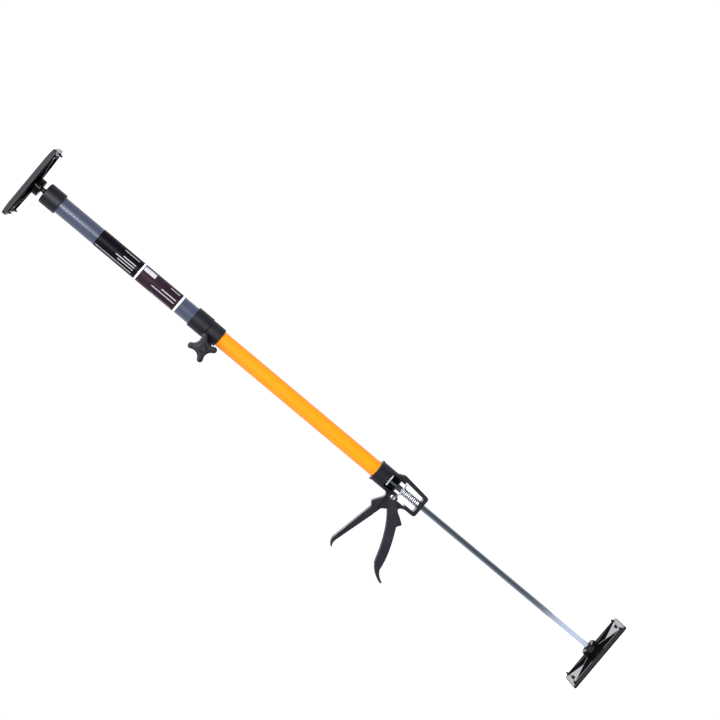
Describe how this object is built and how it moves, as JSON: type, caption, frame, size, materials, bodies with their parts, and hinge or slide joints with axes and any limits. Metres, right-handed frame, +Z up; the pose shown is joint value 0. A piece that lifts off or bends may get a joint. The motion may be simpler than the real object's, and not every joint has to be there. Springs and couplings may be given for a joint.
{
  "type": "telescopic support pole",
  "caption": "Telescopic support pole that holds boards against a ceiling, with a clamped telescopic tube, a squeeze-trigger ratchet rod and a swivelling pad at each end.",
  "frame": {"origin": "centre of the floor pad's contact face, with the pole at full length and upright", "axes": "+Z up the pole towards the ceiling pad, -X towards the two handles, -Y towards the clamp knob"},
  "size_m": [0.2021, 0.08, 1.1518],
  "materials": {
    "pad_plastic": "gloss injection-moulded black plastic",
    "ring_plastic": "satin moulded black plastic",
    "grey_rubber": "moulded grey-brown rubber, ribbed",
    "dark_rubber": "moulded black rubber, ribbed",
    "acetal": "turned off-white acetal",
    "black_steel": "black oxide steel",
    "cap_plastic": "fine-grained moulded black plastic",
    "collar_plastic": "fine-grained moulded black plastic",
    "knob_plastic": "fine-grained moulded black plastic",
    "housing_plastic": "fine-grained moulded black plastic",
    "lever_plastic": "fine-grained moulded black plastic",
    "blue_grey_paint": "semi-gloss powder coat",
    "orange_paint": "semi-gloss powder coat",
    "printed_film": "printed film wrap, left bare of words and marks",
    "zinc_steel": "zinc-plated steel",
    "nickel_steel": "nickel-plated rivet",
    "plate_steel": "hardened steel, ground",
    "spring_steel": "drawn spring wire",
    "bright_steel": "bright zinc-plated steel",
    "rod_steel": "drawn steel rod"
  },
  "bodies": {
    "base": {"inner_tube": "orange_paint", "tube_guide_bush": "acetal", "trigger_housing": "housing_plastic", "pivot_rivet": "nickel_steel"},
    "outer": {"outer_tube": "blue_grey_paint", "tube_label": "printed_film", "end_cap": "cap_plastic", "clamp_collar": "collar_plastic", "clamp_nut": "zinc_steel"},
    "knob": {"clamp_knob": "knob_plastic", "clamp_bolt": "zinc_steel", "clamp_washer": "zinc_steel"},
    "ceiling_stud": {"ceiling_ball_stud": "black_steel"},
    "ceiling_liner": {"ceiling_ball_liner": "acetal"},
    "ceiling_pad": {"ceiling_pad_plate": "pad_plastic", "ceiling_pad_rubber": "grey_rubber", "ceiling_socket_ring": "ring_plastic"},
    "trigger": {"trigger_lever": "lever_plastic"},
    "drive": {"drive_plate_a": "plate_steel", "drive_plate_b": "plate_steel", "drive_spring": "spring_steel"},
    "brake": {"brake_plate": "bright_steel", "brake_spring": "spring_steel"},
    "feed": {"rod": "rod_steel", "rod_guide": "acetal", "rod_pin": "zinc_steel", "floor_ball_clip": "zinc_steel"},
    "floor_swivel": {"floor_ball": "black_steel"},
    "floor_liner": {"floor_ball_liner": "acetal"},
    "floor_pad": {"floor_pad_plate": "pad_plastic", "floor_pad_rubber": "dark_rubber", "floor_socket_ring": "ring_plastic"}
  },
  "joints": [
    {"name": "telescope", "type": "slide", "parent": "base", "child": "outer", "axis": [0, 0, -1], "range_m": [0, 0.312]},
    {"name": "knob_turn", "type": "hinge", "parent": "outer", "child": "knob", "pos_m": [-0.0274, 0, 0.78737], "axis": [0, 1, 0], "continuous": true},
    {"name": "ceiling_spin", "type": "hinge", "parent": "outer", "child": "ceiling_stud", "pos_m": [0, 0, 1.13643], "axis": [0, 0, 1], "continuous": true},
    {"name": "ceiling_tilt_x", "type": "hinge", "parent": "ceiling_stud", "child": "ceiling_liner", "pos_m": [0, 0, 1.13643], "axis": [1, 0, 0], "range_deg": [-12, 12]},
    {"name": "ceiling_tilt_y", "type": "hinge", "parent": "ceiling_liner", "child": "ceiling_pad", "pos_m": [0, 0, 1.13643], "axis": [0, 1, 0], "range_deg": [-12, 12]},
    {"name": "trigger_pull", "type": "hinge", "parent": "base", "child": "trigger", "pos_m": [-0.0165, 0, 0.41092], "axis": [0, 1, 0], "range_deg": [0, 28], "stiffness_Nm_per_rad": 0.5, "springref_deg": -11.46},
    {"name": "drive_slide", "type": "slide", "parent": "base", "child": "drive", "axis": [0, 0, -1], "range_m": [0, 0.0032], "deforming": ["drive_spring"]},
    {"name": "brake_tilt", "type": "hinge", "parent": "base", "child": "brake", "pos_m": [0, 0.01325, 0.43452], "axis": [1, 0, 0], "range_deg": [0, 5], "stiffness_Nm_per_rad": 0.3, "springref_deg": -5.73, "deforming": ["brake_spring"]},
    {"name": "rod_feed", "type": "slide", "parent": "base", "child": "feed", "axis": [0, 0, 1], "range_m": [0, 0.338]},
    {"name": "floor_spin", "type": "hinge", "parent": "feed", "child": "floor_swivel", "pos_m": [0, 0, 0.0124], "axis": [0, 0, 1], "continuous": true},
    {"name": "floor_tilt_x", "type": "hinge", "parent": "floor_swivel", "child": "floor_liner", "pos_m": [0, 0, 0.0124], "axis": [1, 0, 0], "range_deg": [-12, 12]},
    {"name": "floor_tilt_y", "type": "hinge", "parent": "floor_liner", "child": "floor_pad", "pos_m": [0, 0, 0.0124], "axis": [0, 1, 0], "range_deg": [-12, 12]}
  ],
  "couplings": [
    {"joint": "drive_slide", "follows": "trigger_pull", "m_per_rad": 0.0063}
  ]
}
